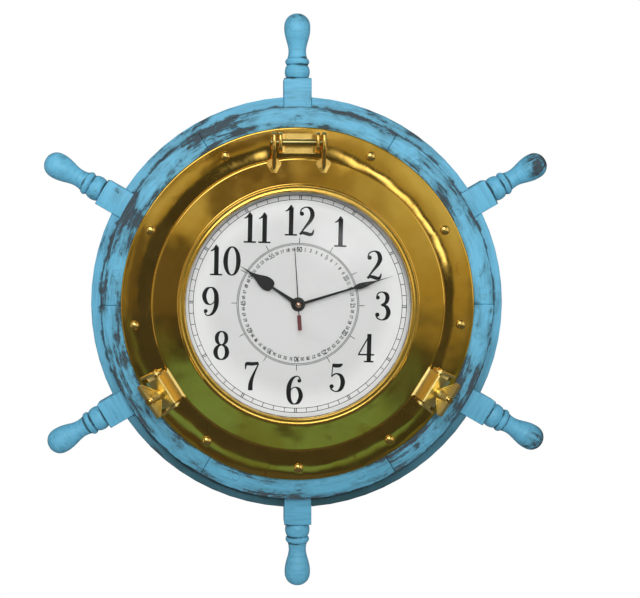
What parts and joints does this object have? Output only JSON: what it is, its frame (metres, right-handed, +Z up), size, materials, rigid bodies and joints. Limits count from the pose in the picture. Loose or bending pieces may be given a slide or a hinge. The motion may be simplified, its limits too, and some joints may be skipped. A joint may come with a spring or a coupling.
{
  "type": "ship wheel wall clock",
  "caption": "Painted wooden ship wheel with a brass porthole whose hinged, dogged window closes over a quartz clock dial and hands",
  "frame": {"origin": "centre of the nail's shank where it seats in the slot of the hanger plate, on the plane of the wall", "axes": "+Z up, +Y into the wall, +X to the viewer's right; the front of the clock faces -Y"},
  "size_m": [0.531, 0.0895, 0.608],
  "materials": {
    "painted_wood": "worn blue paint",
    "polished_brass": "hand polished",
    "window_pane": "clear",
    "black_rubber": "plain",
    "fibreboard": "raw board",
    "dial_card": "printed off-white sheet",
    "black_plastic": "moulded",
    "zinc_steel": "zinc plated",
    "black_metal": "black enamel",
    "battery_wrap": "plain wrap"
  },
  "bodies": {
    "wheel": {"spoke_handle_1": "painted_wood", "spoke_handle_2": "painted_wood", "spoke_handle_3": "painted_wood", "spoke_handle_4": "painted_wood", "spoke_handle_5": "painted_wood", "spoke_handle_6": "painted_wood", "core_felloe_1": "painted_wood", "core_felloe_2": "painted_wood", "core_felloe_3": "painted_wood", "core_felloe_4": "painted_wood", "core_felloe_5": "painted_wood", "core_felloe_6": "painted_wood", "face_felloe_1": "painted_wood", "face_felloe_2": "painted_wood", "face_felloe_3": "painted_wood", "face_felloe_4": "painted_wood", "face_felloe_5": "painted_wood", "face_felloe_6": "painted_wood", "rear_ring": "painted_wood", "hanger_plate": "zinc_steel", "porthole_flange": "polished_brass", "flange_screw_1": "polished_brass", "flange_screw_2": "polished_brass", "flange_screw_3": "polished_brass", "flange_screw_4": "polished_brass", "flange_screw_5": "polished_brass", "flange_screw_6": "polished_brass", "flange_screw_7": "polished_brass", "flange_screw_8": "polished_brass", "flange_screw_9": "polished_brass", "hinge_base": "polished_brass", "hinge_pin": "polished_brass", "dog_yoke_left": "polished_brass", "dog_yoke_right": "polished_brass", "dog_pin_left": "polished_brass", "dog_pin_right": "polished_brass", "dial_board": "fibreboard", "dial_card": "dial_card", "movement_case": "black_plastic", "shaft_bush": "polished_brass", "shaft_washer": "black_rubber", "shaft_nut": "polished_brass", "battery": "battery_wrap"},
    "window": {"window_frame": "polished_brass", "window_glass": "window_pane", "glass_gasket": "black_rubber", "hinge_arm_left": "polished_brass", "hinge_arm_right": "polished_brass", "dog_lug_left": "polished_brass", "dog_lug_right": "polished_brass"},
    "dog_left": {"swing_bolt_left": "polished_brass"},
    "dog_right": {"swing_bolt_right": "polished_brass"},
    "nut_left": {"wing_nut_left": "polished_brass"},
    "nut_right": {"wing_nut_right": "polished_brass"},
    "hour_hand": {"hour_hand": "black_metal"},
    "minute_hand": {"minute_hand": "black_metal"},
    "second_hand": {"second_hand": "black_metal"},
    "set_knob": {"set_knob": "black_plastic"}
  },
  "joints": [
    {"name": "window_hinge", "type": "hinge", "parent": "wheel", "child": "window", "pos_m": [0, -0.068, -0.012], "axis": [-1, 0, 0], "range_deg": [0, 100]},
    {"name": "dog_left_swing", "type": "hinge", "parent": "wheel", "child": "dog_left", "pos_m": [-0.13823, -0.0599, -0.26638], "axis": [0.5299, 0, -0.848], "range_deg": [0, 52]},
    {"name": "dog_right_swing", "type": "hinge", "parent": "wheel", "child": "dog_right", "pos_m": [0.13823, -0.0599, -0.26638], "axis": [0.5299, 0, 0.848], "range_deg": [0, 52]},
    {"name": "nut_left_turn", "type": "hinge", "parent": "dog_left", "child": "nut_left", "pos_m": [-0.13823, -0.0599, -0.26638], "axis": [-0.4864, -0.8192, -0.304], "continuous": true},
    {"name": "nut_right_turn", "type": "hinge", "parent": "dog_right", "child": "nut_right", "pos_m": [0.13823, -0.0599, -0.26638], "axis": [0.4864, -0.8192, -0.304], "continuous": true},
    {"name": "minute_hand_turn", "type": "hinge", "parent": "wheel", "child": "minute_hand", "pos_m": [0, -0.048, -0.18], "axis": [0, 1, 0], "continuous": true},
    {"name": "hour_hand_turn", "type": "hinge", "parent": "wheel", "child": "hour_hand", "pos_m": [0, -0.0465, -0.18], "axis": [0, 1, 0], "continuous": true},
    {"name": "second_hand_turn", "type": "hinge", "parent": "wheel", "child": "second_hand", "pos_m": [0, -0.0497, -0.18], "axis": [0, 1, 0], "continuous": true},
    {"name": "set_knob_turn", "type": "hinge", "parent": "wheel", "child": "set_knob", "pos_m": [0, -0.02, -0.166], "axis": [0, 1, 0], "continuous": true}
  ],
  "couplings": [
    {"joint": "hour_hand_turn", "follows": "minute_hand_turn", "ratio": 0.083333},
    {"joint": "second_hand_turn", "follows": "minute_hand_turn", "ratio": 60},
    {"joint": "set_knob_turn", "follows": "minute_hand_turn", "ratio": -3}
  ]
}
